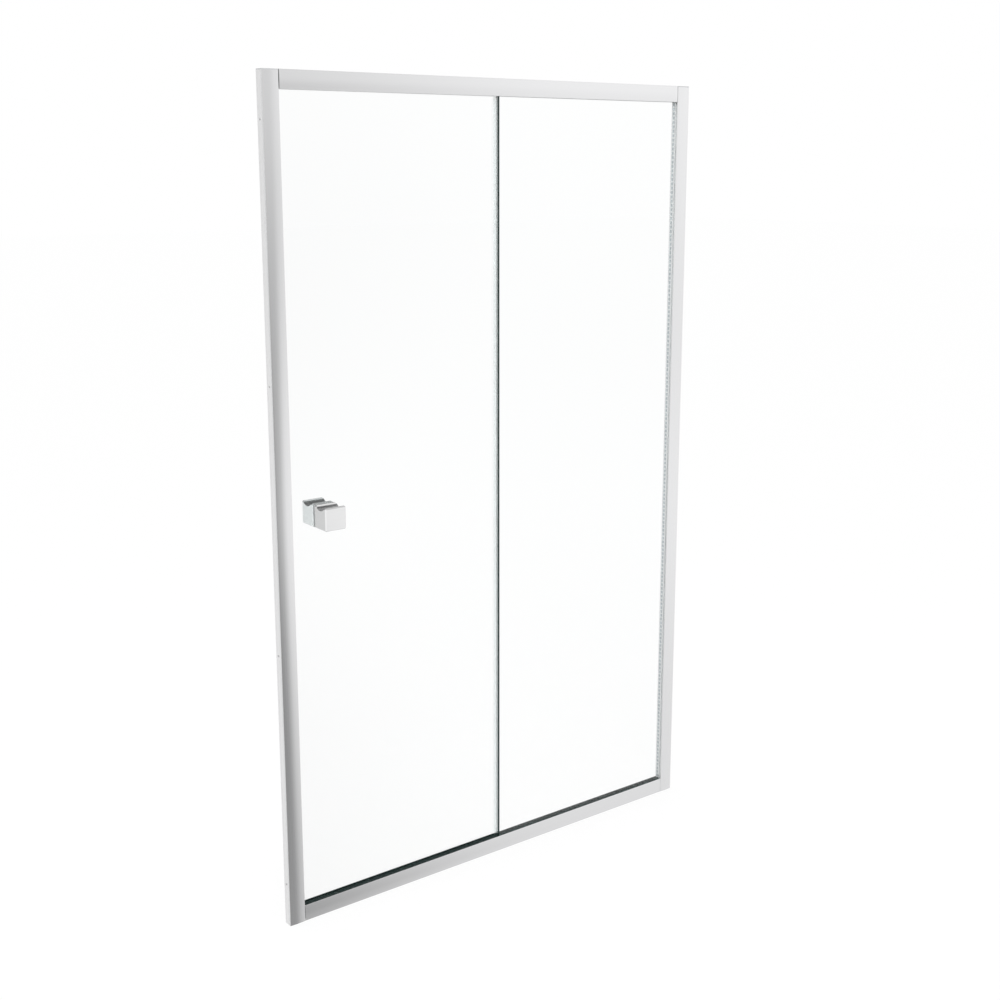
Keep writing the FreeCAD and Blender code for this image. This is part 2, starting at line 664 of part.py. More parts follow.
def handle_grub_screws():
    reach = HANDLE_WASHER + STUD_GRIP / 2
    high = HANDLE_HEIGHT - math.sqrt((STUD / 2) ** 2 - (GRUB / 2) ** 2) - GRUB / 2
    screws = []
    for y in (Y_DOOR - reach, Y_DOOR_REAR + reach):
        screws.append(rod_z(HANDLE_X, y, high - GRUB_LENGTH, high, GRUB / 2))
    return screws


def both_sides(shapes):
    return shapes + [mirrored(shape) for shape in shapes]


nodes = {
    "left_wall_channel": mirrored(wall_channel()),
    "right_wall_channel": wall_channel(),
    "left_jamb": mirrored(jamb()),
    "right_jamb": jamb(),
    "left_jamb_cap": mirrored(jamb_cap()),
    "right_jamb_cap": jamb_cap(),
    "head_rail": head_rail(),
    "sill_rail": sill_rail(),
    "sill_liner": sill_liner(),
    "corner_screws": Part.makeCompound(both_sides(corner_screws())),
    "jamb_screws": Part.makeCompound(both_sides(jamb_screws())),
    "jamb_screw_caps": Part.makeCompound(both_sides(screw_covers())),
    "fixed_glass": fixed_glass(),
    "head_gasket": head_gasket(),
    "sill_gasket": sill_gasket(),
    "jamb_gasket": jamb_gasket(),
    "setting_blocks": Part.makeCompound(setting_blocks()),
    "head_infill": head_infill(),
    "sill_infill": sill_infill(),
    "left_jamb_infill": mirrored(pocket_strip(Y_GROOVE, Y_PARTITION)),
    "right_jamb_strip": pocket_strip(Y_LANE, Y_LANE_REAR),
    "strike_seal": strike_seal(),
    "left_track_stop": left_track_stop(),
    "right_track_stop": right_track_stop(),
    "door_glass": door_glass(),
    "top_carrier": top_carrier(),
    "carrier_screws": Part.makeCompound(carrier_screws()),
    "leading_seal": leading_seal(),
    "trailing_seal": trailing_seal(),
    "outer_handle": handle_block(Y_DOOR, -1),
    "inner_handle": handle_block(Y_DOOR_REAR, 1),
    "handle_stud": handle_stud(),
    "handle_bush": handle_bush(),
    "handle_washers": Part.makeCompound(handle_washers()),
    "handle_grub_screws": Part.makeCompound(handle_grub_screws()),
}
for name, hanger_x, shoe_x in (("left", HANGERS[0], SHOES[0]), ("right", HANGERS[1], SHOES[1])):
    nodes[name + "_hanger"] = hanger(hanger_x)
    nodes[name + "_axle"] = axle(hanger_x)
    nodes[name + "_front_wheel"] = wheel(hanger_x, -1)
    nodes[name + "_rear_wheel"] = wheel(hanger_x, 1)
    nodes[name + "_guide_shoe"] = guide_shoe(shoe_x)

os.makedirs("parts", exist_ok=True)
for name, shape in nodes.items():
    shape.exportStep("parts/" + name + ".step")
print(len(nodes), "nodes, frame depth", round(FRAME_DEPTH, 2), "jamb face", round(JAMB_FACE, 2))
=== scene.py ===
import bpy
import math
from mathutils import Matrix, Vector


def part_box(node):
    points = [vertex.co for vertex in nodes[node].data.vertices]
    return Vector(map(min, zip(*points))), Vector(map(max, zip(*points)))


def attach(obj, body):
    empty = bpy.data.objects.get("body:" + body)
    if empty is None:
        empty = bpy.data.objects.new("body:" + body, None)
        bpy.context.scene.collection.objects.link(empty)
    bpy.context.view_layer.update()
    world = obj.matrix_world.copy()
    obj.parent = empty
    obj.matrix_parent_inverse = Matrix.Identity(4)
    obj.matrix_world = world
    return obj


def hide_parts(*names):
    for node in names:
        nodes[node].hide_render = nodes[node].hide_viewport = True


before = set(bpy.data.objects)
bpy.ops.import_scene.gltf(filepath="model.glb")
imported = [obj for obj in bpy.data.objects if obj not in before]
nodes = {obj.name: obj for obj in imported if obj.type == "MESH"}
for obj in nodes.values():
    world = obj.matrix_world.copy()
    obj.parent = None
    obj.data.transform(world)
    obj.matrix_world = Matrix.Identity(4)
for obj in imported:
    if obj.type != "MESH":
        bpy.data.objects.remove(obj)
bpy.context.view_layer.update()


# Wall channels: two aluminium U sections, drawn and anodised, screwed to the walls of the niche
# and bedded in silicone. The jambs slide over them, so only a narrow edge shows at the wall.
def drawn_metal(name, colour, streaks, roughness):
    """Metal with the fine lines of drawing or grinding; streaks are lines per metre on X, Y and Z."""
    material = bpy.data.materials.new(name)
    material.use_nodes = True
    tree = material.node_tree
    shader = tree.nodes["Principled BSDF"]
    shader.inputs["Metallic"].default_value = 1.0
    place = tree.nodes.new("ShaderNodeTexCoord")
    stretch = tree.nodes.new("ShaderNodeMapping")
    stretch.inputs["Scale"].default_value = streaks
    lines = tree.nodes.new("ShaderNodeTexNoise")
    lines.inputs["Scale"].default_value = 1.0
    lines.inputs["Detail"].default_value = 4.0
    lines.inputs["Roughness"].default_value = 0.6
    tint = tree.nodes.new("ShaderNodeMix")
    tint.data_type = "RGBA"
    tint.inputs["A"].default_value = (colour[0] * 0.95, colour[1] * 0.95, colour[2] * 0.955, 1.0)
    tint.inputs["B"].default_value = (colour[0], colour[1], colour[2], 1.0)
    gloss = tree.nodes.new("ShaderNodeMapRange")
    gloss.inputs["From Min"].default_value = 0.3
    gloss.inputs["From Max"].default_value = 0.7
    gloss.inputs["To Min"].default_value = roughness * 0.8
    gloss.inputs["To Max"].default_value = roughness * 1.2
    relief = tree.nodes.new("ShaderNodeBump")
    relief.inputs["Strength"].default_value = 0.04
    relief.inputs["Distance"].default_value = 0.0002
    tree.links.new(place.outputs["Object"], stretch.inputs["Vector"])
    tree.links.new(stretch.outputs["Vector"], lines.inputs["Vector"])
    tree.links.new(lines.outputs["Fac"], tint.inputs["Factor"])
    tree.links.new(tint.outputs["Result"], shader.inputs["Base Color"])
    tree.links.new(lines.outputs["Fac"], gloss.inputs["Value"])
    tree.links.new(gloss.outputs["Result"], shader.inputs["Roughness"])
    tree.links.new(lines.outputs["Fac"], relief.inputs["Height"])
    tree.links.new(relief.outputs["Normal"], shader.inputs["Normal"])
    return material


def finish_nodes(material, *names):
    """Gives the material to the CAD nodes of these names."""
    for name in names:
        nodes[name].material_slots[0].material = material


satin_upright = drawn_metal("channel_aluminium", (0.95, 0.95, 0.95), (700.0, 700.0, 0.8), 0.5)
# The satin skin is only half a mirror
satin_upright.node_tree.nodes["Principled BSDF"].inputs["Metallic"].default_value = 0.5
finish_nodes(satin_upright, "left_wall_channel", "right_wall_channel")


# Jambs and the left infill: bright anodised aluminium uprights with a gently crowned face, pushed over
# the wall channels. A snap-in strip of the same metal closes the glazing groove that the left one
# doesn't need.
bright_anodised = (0.88, 0.88, 0.885)
bright_roughness = 0.14
lines_upright = (900.0, 900.0, 0.6)
bright_upright = drawn_metal("jamb_aluminium", bright_anodised, lines_upright, bright_roughness)
finish_nodes(bright_upright, "left_jamb", "right_jamb", "left_jamb_infill")


# Head rail: the same bright aluminium, sawn square between the jambs, with the die lines running along
# the width. Its last millimetre and a half at each end is darkened towards grey as painted shade, which
# shows as the seam at the corner.
lines_across = (0.6, 900.0, 900.0)
bright_across = drawn_metal("rail_aluminium", bright_anodised, lines_across, bright_roughness)
tree = bright_across.node_tree
shader = tree.nodes["Principled BSDF"]
drawn_tint = shader.inputs["Base Color"].links[0].from_socket
rail_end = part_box("head_rail")[1][0]
seam_shade_width = 0.0015
seam_shade_full_width = 0.0009
place = tree.nodes.new("ShaderNodeTexCoord")
along = tree.nodes.new("ShaderNodeSeparateXYZ")
from_middle = tree.nodes.new("ShaderNodeMath")
from_middle.operation = "ABSOLUTE"
seam_shade_mask = tree.nodes.new("ShaderNodeMapRange")
seam_shade_mask.inputs["From Min"].default_value = rail_end - seam_shade_width
seam_shade_mask.inputs["From Max"].default_value = rail_end - seam_shade_full_width
# Painted shade: the colour darkens towards 0.38 grey over the last 1.5 mm at each end of the rail, for
# the seam at the corner.
painted_seam_shade = tree.nodes.new("ShaderNodeMix")
painted_seam_shade.data_type = "RGBA"
painted_seam_shade.inputs["B"].default_value = (0.38, 0.38, 0.39, 1.0)
tree.links.new(place.outputs["Object"], along.inputs["Vector"])
tree.links.new(along.outputs["X"], from_middle.inputs[0])
tree.links.new(from_middle.outputs["Value"], seam_shade_mask.inputs["Value"])
tree.links.new(seam_shade_mask.outputs["Result"], painted_seam_shade.inputs["Factor"])
tree.links.new(drawn_tint, painted_seam_shade.inputs["A"])
tree.links.new(painted_seam_shade.outputs["Result"], shader.inputs["Base Color"])
finish_nodes(bright_across, "head_rail")


# Sill rail: bright drawn aluminium as well, screwed between the feet of the jambs and bedded on the
# tray. Its ends are dressed smooth, so that the sealant takes; they get no painted seam shade and
# hardly show.
bright_sill = drawn_metal("sill_aluminium", bright_anodised, lines_across, bright_roughness)
finish_nodes(bright_sill, "sill_rail")


# Head strip and top carrier: plain drawn aluminium. The strip snaps into the head rail's spare groove,
# the carrier is bonded to the top edge of the sliding pane and takes the hanger plates.
plain_across = drawn_metal("carrier_aluminium", (0.86, 0.86, 0.865), lines_across, 0.18)
finish_nodes(plain_across, "head_infill", "top_carrier")


# Jamb caps and screw covers: small mouldings in silver-grey plastic with a fine spark-eroded texture,
# pressed into the top of each jamb and over the heads of the jamb screws.
def moulded_plastic(name, colour, roughness, grain):
    """Plastic or rubber with the fine speckle of its mould; grain is speckles per metre."""
    material = bpy.data.materials.new(name)
    material.use_nodes = True
    tree = material.node_tree
    shader = tree.nodes["Principled BSDF"]
    place = tree.nodes.new("ShaderNodeTexCoord")
    speckle = tree.nodes.new("ShaderNodeTexNoise")
    speckle.inputs["Scale"].default_value = grain
    speckle.inputs["Detail"].default_value = 3.0
    tint = tree.nodes.new("ShaderNodeMix")
    tint.data_type = "RGBA"
    tint.inputs["A"].default_value = (colour[0] * 0.9, colour[1] * 0.9, colour[2] * 0.9, 1.0)
    tint.inputs["B"].default_value = (colour[0] * 1.06, colour[1] * 1.06, colour[2] * 1.06, 1.0)
    gloss = tree.nodes.new("ShaderNodeMapRange")
    gloss.inputs["To Min"].default_value = roughness - 0.06
    gloss.inputs["To Max"].default_value = roughness + 0.06
    relief = tree.nodes.new("ShaderNodeBump")
    relief.inputs["Strength"].default_value = 0.12
    relief.inputs["Distance"].default_value = 0.0001
    tree.links.new(place.outputs["Object"], speckle.inputs["Vector"])
    tree.links.new(speckle.outputs["Fac"], tint.inputs["Factor"])
    tree.links.new(tint.outputs["Result"], shader.inputs["Base Color"])
    tree.links.new(speckle.outputs["Fac"], gloss.inputs["Value"])
    tree.links.new(gloss.outputs["Result"], shader.inputs["Roughness"])
    tree.links.new(speckle.outputs["Fac"], relief.inputs["Height"])
    tree.links.new(relief.outputs["Normal"], shader.inputs["Normal"])
    return material


silver_plastic = moulded_plastic("silver_grey_plastic", (0.60, 0.61, 0.62), 0.42, 2600.0)
finish_nodes(silver_plastic, "left_jamb_cap", "right_jamb_cap", "jamb_screw_caps")


# Black rubber: the sill's liner that the door's guide shoes run in, the strip that fills the sill's
# spare glazing groove, the setting blocks under the fixed glass and the end stops of the roller track.
black_rubber = moulded_plastic("black_rubber", (0.017, 0.034, 0.032), 0.50, 1400.0)
black_rubber.node_tree.nodes["Principled BSDF"].inputs["Specular IOR Level"].default_value = 0.38
finish_nodes(
    black_rubber,
    "sill_liner",
    "sill_infill",
    "setting_blocks",
    "left_track_stop",
    "right_track_stop",
)


# Sill wedge: a strip of softer, green-grey rubber, extruded. It is pressed in along the foot of the
# fixed glass and holds it in the sill.
wedge_rubber = moulded_plastic("wedge_rubber", (0.050, 0.086, 0.083), 0.45, 1400.0)
finish_nodes(wedge_rubber, "sill_gasket")


# Door pane: clear toughened glass with ground edges and a hole for the knobs, hung on the rollers. Its
# faces are colourless, and its edges show the dark green of the glass.
clear_glass = bpy.data.materials.new("clear_toughened_glass")
clear_glass.use_nodes = True
tree = clear_glass.node_tree
pane = tree.nodes["Principled BSDF"]
pane.inputs["IOR"].default_value = 1.5
place = tree.nodes.new("ShaderNodeTexCoord")
facing = tree.nodes.new("ShaderNodeSeparateXYZ")
flat = tree.nodes.new("ShaderNodeMath")
flat.operation = "ABSOLUTE"
edge = tree.nodes.new("ShaderNodeMapRange")
edge.inputs["From Min"].default_value = 0.8
edge.inputs["From Max"].default_value = 0.95
tint = tree.nodes.new("ShaderNodeMix")
tint.data_type = "RGBA"
tint.inputs["A"].default_value = (0.018, 0.034, 0.032, 1.0)
tint.inputs["B"].default_value = (0.994, 0.999, 0.998, 1.0)
ground = tree.nodes.new("ShaderNodeMapRange")
ground.inputs["To Min"].default_value = 0.35
ground.inputs["To Max"].default_value = 0.0
lamps_through = tree.nodes.new("ShaderNodeMixShader")
clear = tree.nodes.new("ShaderNodeBsdfTransparent")
path = tree.nodes.new("ShaderNodeLightPath")
out = tree.nodes["Material Output"]
tree.links.new(place.outputs["Normal"], facing.inputs["Vector"])
tree.links.new(facing.outputs["Y"], flat.inputs[0])
tree.links.new(flat.outputs["Value"], edge.inputs["Value"])
tree.links.new(edge.outputs["Result"], tint.inputs["Factor"])
tree.links.new(tint.outputs["Result"], pane.inputs["Base Color"])
tree.links.new(edge.outputs["Result"], pane.inputs["Transmission Weight"])
tree.links.new(edge.outputs["Result"], ground.inputs["Value"])
tree.links.new(ground.outputs["Result"], pane.inputs["Roughness"])
tree.links.new(path.outputs["Is Shadow Ray"], lamps_through.inputs["Fac"])
tree.links.new(pane.outputs["BSDF"], lamps_through.inputs[1])
tree.links.new(clear.outputs["BSDF"], lamps_through.inputs[2])
tree.links.new(lamps_through.outputs["Shader"], out.inputs["Surface"])
finish_nodes(clear_glass, "door_glass")


# Fixed pane: a thicker pane of the same glass, with a narrow arris ground on every edge, wedged in the
# frame. It is modelled a hair thinner than its solid, so that the gaskets that press on it lie beside
# its faces, not in them.
pane_low, pane_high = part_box("fixed_glass")
arris = 0.0005
gasket_room = 0.00003
bpy.ops.object.select_all(action="DESELECT")
bpy.ops.mesh.primitive_cube_add(size=1.0)
fixed_pane = bpy.context.object
fixed_pane.name = "fixed_pane"
bpy.ops.object.mode_set(mode="EDIT")
bpy.ops.transform.resize(
    value=(
        pane_high[0] - pane_low[0],
        pane_high[1] - pane_low[1] - 2.0 * gasket_room,
        pane_high[2] - pane_low[2],
    )
)
bpy.ops.transform.translate(value=[(low + high) / 2.0 for low, high in zip(pane_low, pane_high)])
bpy.ops.mesh.bevel(offset=arris, segments=1, affect="EDGES")
bpy.ops.object.mode_set(mode="OBJECT")
fixed_pane.data.materials.append(clear_glass)
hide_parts("fixed_glass")
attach(fixed_pane, "frame")


# Clear seal: thin-walled soft plastic, extruded as a clip with a fin. It is pushed on the trailing edge
# of the door pane and closes the gap between the two panes. Its walls are a faint blue-white veil.
def soft_clear_plastic(name, colour, clear_share, roughness):
    """Soft, faintly clouded plastic; clear_share of the light goes through it as through glass."""
    material = bpy.data.materials.new(name)
    material.use_nodes = True
    tree = material.node_tree
    shader = tree.nodes["Principled BSDF"]
    shader.inputs["Transmission Weight"].default_value = clear_share
    shader.inputs["IOR"].default_value = 1.45
    place = tree.nodes.new("ShaderNodeTexCoord")
    cloud = tree.nodes.new("ShaderNodeTexNoise")
    cloud.inputs["Scale"].default_value = 160.0
    cloud.inputs["Detail"].default_value = 3.0
    tint = tree.nodes.new("ShaderNodeMix")
    tint.data_type = "RGBA"
    tint.inputs["A"].default_value = (colour[0] * 0.94, colour[1] * 0.95, colour[2] * 0.95, 1.0)
    tint.inputs["B"].default_value = (colour[0], colour[1], colour[2], 1.0)
    gloss = tree.nodes.new("ShaderNodeMapRange")
    gloss.inputs["To Min"].default_value = roughness * 0.8
    gloss.inputs["To Max"].default_value = roughness * 1.2
    tree.links.new(place.outputs["Object"], cloud.inputs["Vector"])
    tree.links.new(cloud.outputs["Fac"], tint.inputs["Factor"])
    tree.links.new(tint.outputs["Result"], shader.inputs["Base Color"])
    tree.links.new(cloud.outputs["Fac"], gloss.inputs["Value"])
    tree.links.new(gloss.outputs["Result"], shader.inputs["Roughness"])
    return material


clear_seal = soft_clear_plastic("clear_seal_plastic", (0.72, 0.83, 0.83), 0.0, 0.2)
clear_seal.node_tree.nodes["Principled BSDF"].inputs["Alpha"].default_value = 0.1
finish_nodes(clear_seal, "trailing_seal")


# Gaskets: milky soft plastic, extruded. They are pressed in beside the fixed glass, in the head rail
# and in the right jamb.
milky = soft_clear_plastic("milky_plastic", (0.96, 0.985, 0.985), 0.0, 0.35)
finish_nodes(milky, "head_gasket", "jamb_gasket")


# Pocket strip: a ladder of milky plastic, snapped into the right jamb, that closes the door pocket
# which that jamb doesn't use. It is moulded with a shallow window every eleven millimetres, so that it
# can bend.
strip_low, strip_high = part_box("right_jamb_strip")
rungs = 168
pitch = (strip_high[2] - strip_low[2]) / rungs
window_border = 0.0016
window_depth = 0.0012
window_taper = 0.86
behind_windows = strip_low[0] + 0.0015
squarely = 0.9
bpy.ops.object.select_all(action="DESELECT")
bpy.ops.mesh.primitive_cube_add(size=1.0)
strip = bpy.context.object
strip.name = "right_pocket_strip"
bpy.ops.object.mode_set(mode="EDIT")
bpy.ops.transform.resize(value=(strip_high[0] - strip_low[0], strip_high[1] - strip_low[1], pitch))
bpy.ops.transform.translate(
    value=(
        (strip_low[0] + strip_high[0]) / 2.0,
        (strip_low[1] + strip_high[1]) / 2.0,
        strip_low[2] + pitch / 2.0,
    )
)


def pick_faces(obj, wanted):
    """Selects the faces of the piece in hand whose centre and normal the given test accepts."""
    bpy.ops.object.mode_set(mode="OBJECT")
    for side in obj.data.polygons:
        side.select = wanted(side.center, side.normal)
    for corner in obj.data.vertices:
        corner.select = False
    for line in obj.data.edges:
        line.select = False
    bpy.ops.object.mode_set(mode="EDIT")
    bpy.ops.mesh.select_mode(type="FACE")


pick_faces(strip, lambda centre, normal: normal.x < -squarely)
bpy.ops.mesh.inset(thickness=window_border)
bpy.ops.mesh.extrude_region_move(TRANSFORM_OT_translate={"value": (window_depth, 0.0, 0.0)})
bpy.ops.transform.resize(value=(1.0, window_taper, window_taper))
# The faces between one rung and the next go, so that the copies join into one strip
pick_faces(strip, lambda centre, normal: abs(normal.z) > squarely and centre.x > behind_windows)
bpy.ops.mesh.delete(type="FACE")
bpy.ops.object.mode_set(mode="OBJECT")
ladder = strip.modifiers.new("ladder", "ARRAY")
ladder.count = rungs
ladder.use_relative_offset = False
ladder.use_constant_offset = True
ladder.constant_offset_displace = (0.0, 0.0, pitch)
ladder.use_merge_vertices = True
ladder.merge_threshold = 0.0001
bpy.ops.object.modifier_apply(modifier="ladder")
bpy.ops.object.mode_set(mode="EDIT")
bpy.ops.mesh.select_mode(type="EDGE")
bpy.ops.mesh.select_all(action="DESELECT")
# The two ends are still open
bpy.ops.mesh.select_non_manifold()
bpy.ops.mesh.edge_face_add()
bpy.ops.object.mode_set(mode="OBJECT")
# Painted shade: faces more than 0.4 mm behind the strip's face, the floors and sides of the windows,
# are darkened towards grey-blue.
shade_starts = strip_low[0] + 0.0004
shade_full = strip_low[0] + 0.0010
ladder_plastic = soft_clear_plastic("ladder_plastic", (0.96, 0.985, 0.99), 0.2, 0.35)
tree = ladder_plastic.node_tree
shader = tree.nodes["Principled BSDF"]
rim_tint = shader.inputs["Base Color"].links[0].from_socket
place = tree.nodes.new("ShaderNodeTexCoord")
depth = tree.nodes.new("ShaderNodeSeparateXYZ")
window_shade_mask = tree.nodes.new("ShaderNodeMapRange")
window_shade_mask.inputs["From Min"].default_value = shade_starts
window_shade_mask.inputs["From Max"].default_value = shade_full
painted_window_shade = tree.nodes.new("ShaderNodeMix")
painted_window_shade.data_type = "RGBA"
painted_window_shade.inputs["B"].default_value = (0.58, 0.65, 0.67, 1.0)
tree.links.new(place.outputs["Object"], depth.inputs["Vector"])
tree.links.new(depth.outputs["X"], window_shade_mask.inputs["Value"])
tree.links.new(window_shade_mask.outputs["Result"], painted_window_shade.inputs["Factor"])
tree.links.new(rim_tint, painted_window_shade.inputs["A"])
tree.links.new(painted_window_shade.outputs["Result"], shader.inputs["Base Color"])
strip.data.materials.append(ladder_plastic)
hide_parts("right_jamb_strip")
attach(strip, "frame")


# Magnet seals: pale grey soft plastic with a magnetic strip inside. One is pushed on the door's leading
# edge, its partner lies in the left jamb's pocket, and they hold the door shut.
magnet_seal = soft_clear_plastic("magnet_seal_plastic", (0.72, 0.76, 0.76), 0.15, 0.4)
finish_nodes(magnet_seal, "leading_seal", "strike_seal")


# Rollers, guide shoes and the bush in the glass: white nylon mouldings. The four wheels turn on two
# axles, the shoes ride in the sill's liner, and the bush keeps the knob's stud off the glass.
white_nylon = moulded_plastic("white_nylon", (0.82, 0.82, 0.79), 0.38, 1800.0)
finish_nodes(
    white_nylon,
    "left_front_wheel",
    "left_rear_wheel",
    "right_front_wheel",
    "right_rear_wheel",
    "left_guide_shoe",
    "right_guide_shoe",
    "handle_bush",
)


# Steel pieces: stainless hanger plates and axles of the rollers, the stud of the knobs and all screws.
# The screws join jambs and rails at the corners, and the jambs to their wall channels.
stainless = drawn_metal("stainless_steel", (0.62, 0.62, 0.63), (600.0, 600.0, 600.0), 0.24)
finish_nodes(
    stainless,
    "corner_screws",
    "jamb_screws",
    "carrier_screws",
    "left_hanger",
    "right_hanger",
    "left_axle",
    "right_axle",
    "handle_stud",
    "handle_grub_screws",
)


# Knobs: two square blocks of plated metal with bevelled edges and a polished finger scoop across the
# top, one on each face of the door, drawn together by the stud through the glass. The sides of the
# inner one are pearl-blasted.
brushed_across = (40.0, 900.0, 900.0)
satin_chrome = drawn_metal("satin_chrome", (0.95, 0.95, 0.95), brushed_across, 0.13)
finish_nodes(satin_chrome, "outer_handle")
pearl_chrome = drawn_metal("pearl_chrome", (0.93, 0.975, 0.975), brushed_across, 0.15)
tree = pearl_chrome.node_tree
place = tree.nodes.new("ShaderNodeTexCoord")
facing = tree.nodes.new("ShaderNodeSeparateXYZ")
polished = tree.nodes.new("ShaderNodeMapRange")
polished.inputs["From Min"].default_value = 0.05
polished.inputs["From Max"].default_value = 0.2
polished.inputs["To Min"].default_value = 0.3
polished.inputs["To Max"].default_value = 1.0
tree.links.new(place.outputs["Normal"], facing.inputs["Vector"])
tree.links.new(facing.outputs["Z"], polished.inputs["Value"])
tree.links.new(polished.outputs["Result"], tree.nodes["Principled BSDF"].inputs["Metallic"])
finish_nodes(pearl_chrome, "inner_handle")


# Knob pads: thin square sheets of white translucent rubber, die-cut. One lies behind each knob and
# keeps the metal off the glass.
white_pad = soft_clear_plastic("white_pad_rubber", (0.93, 0.95, 0.95), 0.3, 0.4)
finish_nodes(white_pad, "handle_washers")


# Floor: a plain white sheet that the frame stands on. It looks white to the camera and through the
# glass and keeps a faint contact shadow. Polished metal looks past it into the studio, through the
# glass too.
bpy.ops.object.select_all(action="DESELECT")
bpy.ops.mesh.primitive_plane_add(size=60.0, location=(0.0, 0.0, 0.0))
floor = bpy.context.object
floor.name = "floor"
floor.visible_glossy = False
white_sheet = bpy.data.materials.new("white_sheet")
white_sheet.use_nodes = True
tree = white_sheet.node_tree
tree.nodes.remove(tree.nodes["Principled BSDF"])
cloth = tree.nodes.new("ShaderNodeBsdfDiffuse")
cloth.inputs["Color"].default_value = (0.86, 0.86, 0.86, 1.0)
lit = tree.nodes.new("ShaderNodeEmission")
lit.inputs["Strength"].default_value = 1.05
share = tree.nodes.new("ShaderNodeMixShader")
path = tree.nodes.new("ShaderNodeLightPath")
seen = tree.nodes.new("ShaderNodeMath")
seen.operation = "MAXIMUM"
part_lit = tree.nodes.new("ShaderNodeMath")
part_lit.operation = "MULTIPLY"
part_lit.inputs[1].default_value = 0.85
tree.links.new(path.outputs["Is Camera Ray"], seen.inputs[0])
tree.links.new(path.outputs["Is Transmission Ray"], seen.inputs[1])
tree.links.new(seen.outputs["Value"], part_lit.inputs[0])
tree.links.new(part_lit.outputs["Value"], share.inputs["Fac"])
bounced = tree.nodes.new("ShaderNodeMath")
bounced.operation = "GREATER_THAN"
bounced.inputs[1].default_value = 0.5
bounced_on = tree.nodes.new("ShaderNodeMath")
bounced_on.operation = "MULTIPLY"
nothing = tree.nodes.new("ShaderNodeBsdfTransparent")
passed = tree.nodes.new("ShaderNodeMixShader")
tree.links.new(path.outputs["Glossy Depth"], bounced.inputs[0])
tree.links.new(bounced.outputs["Value"], bounced_on.inputs[0])
tree.links.new(path.outputs["Is Transmission Ray"], bounced_on.inputs[1])
tree.links.new(cloth.outputs["BSDF"], share.inputs[1])
tree.links.new(lit.outputs["Emission"], share.inputs[2])
tree.links.new(bounced_on.outputs["Value"], passed.inputs["Fac"])
tree.links.new(share.outputs["Shader"], passed.inputs[1])
tree.links.new(nothing.outputs["BSDF"], passed.inputs[2])
tree.links.new(passed.outputs["Shader"], tree.nodes["Material Output"].inputs["Surface"])
floor.data.materials.append(white_sheet)


# Studio: even white light all round, with the room that polished metal mirrors. It is bright at the
# sides, grey in front of the door and darker there below eye level, pale behind it near the floor and
# grey above, and dark overhead.
world = bpy.data.worlds.new("studio")
bpy.context.scene.world = world
world.use_nodes = True
tree = world.node_tree
tree.nodes.clear()
sight = tree.nodes.new("ShaderNodeTexCoord")
split = tree.nodes.new("ShaderNodeSeparateXYZ")
ahead = tree.nodes.new("ShaderNodeMath")
ahead.operation = "MULTIPLY"
ahead.inputs[1].default_value = -1.0
bearing = tree.nodes.new("ShaderNodeMath")
bearing.operation = "ARCTAN2"
centred = tree.nodes.new("ShaderNodeMath")
centred.operation = "ADD"
centred.inputs[1].default_value = math.radians(12.0)
off_centre = tree.nodes.new("ShaderNodeMath")
off_centre.operation = "ABSOLUTE"
beside = tree.nodes.new("ShaderNodeMapRange")
beside.interpolation_type = "SMOOTHSTEP"
beside.inputs["From Min"].default_value = math.radians(37.0)
beside.inputs["From Max"].default_value = math.radians(53.0)
behind = tree.nodes.new("ShaderNodeMapRange")
behind.interpolation_type = "SMOOTHSTEP"
behind.inputs["From Min"].default_value = math.radians(104.0)
behind.inputs["From Max"].default_value = math.radians(136.0)
height = tree.nodes.new("ShaderNodeMapRange")
height.inputs["From Min"].default_value = -1.0
height.inputs["From Max"].default_value = 1.0
grey_front = tree.nodes.new("ShaderNodeValToRGB")
bright_side = tree.nodes.new("ShaderNodeValToRGB")
mid_back = tree.nodes.new("ShaderNodeValToRGB")
wide_band = tree.nodes.new("ShaderNodeValToRGB")
widened = tree.nodes.new("ShaderNodeMath")
widened.operation = "MULTIPLY_ADD"
widened.inputs[1].default_value = math.radians(9.0)


def shade_by_height(ramp, stops):
    """Stops are pairs of elevation in degrees and brightness, the nadir and the zenith first."""
    for i, (degrees, level) in enumerate(stops):
        position = (math.sin(math.radians(degrees)) + 1.0) / 2.0
        stop = ramp.color_ramp.elements[i] if i < 2 else ramp.color_ramp.elements.new(position)
        stop.position = position
        stop.color = (level, level, level, 1.0)


shade_by_height(
    grey_front,
    [
        (-90.0, 0.36), (90.0, 0.05), (-32.0, 0.34), (-22.0, 0.28), (-14.0, 0.24),
        (-6.0, 0.49), (2.0, 0.73), (5.0, 0.75), (30.0, 0.8), (58.0, 0.08),
    ],
)
shade_by_height(
    bright_side,
    [
        (-90.0, 0.8), (90.0, 0.05), (-30.0, 0.84), (-22.0, 0.84), (-14.0, 0.96),
        (-7.0, 0.9), (4.0, 1.0), (46.0, 0.95), (56.0, 0.85), (60.0, 0.05),
    ],
)
shade_by_height(
    mid_back,
    [
        (-90.0, 0.75), (90.0, 0.05), (-30.0, 0.82), (-15.0, 0.7), (-5.0, 0.72),
        (2.0, 0.46), (14.0, 0.42), (30.0, 0.18), (58.0, 0.05),
    ],
)
shade_by_height(
    wide_band,
    [
        (-90.0, 0.0), (90.0, 0.0), (-29.0, 0.0), (-22.0, 0.445), (-14.5, 1.0),
        (-7.0, 0.445), (-2.0, 0.0),
    ],
)
front_and_sides = tree.nodes.new("ShaderNodeMix")
front_and_sides.data_type = "RGBA"
mirrored = tree.nodes.new("ShaderNodeMix")
mirrored.data_type = "RGBA"
path = tree.nodes.new("ShaderNodeLightPath")
even = tree.nodes.new("ShaderNodeBackground")
even.inputs["Color"].default_value = (1.0, 1.0, 1.0, 1.0)
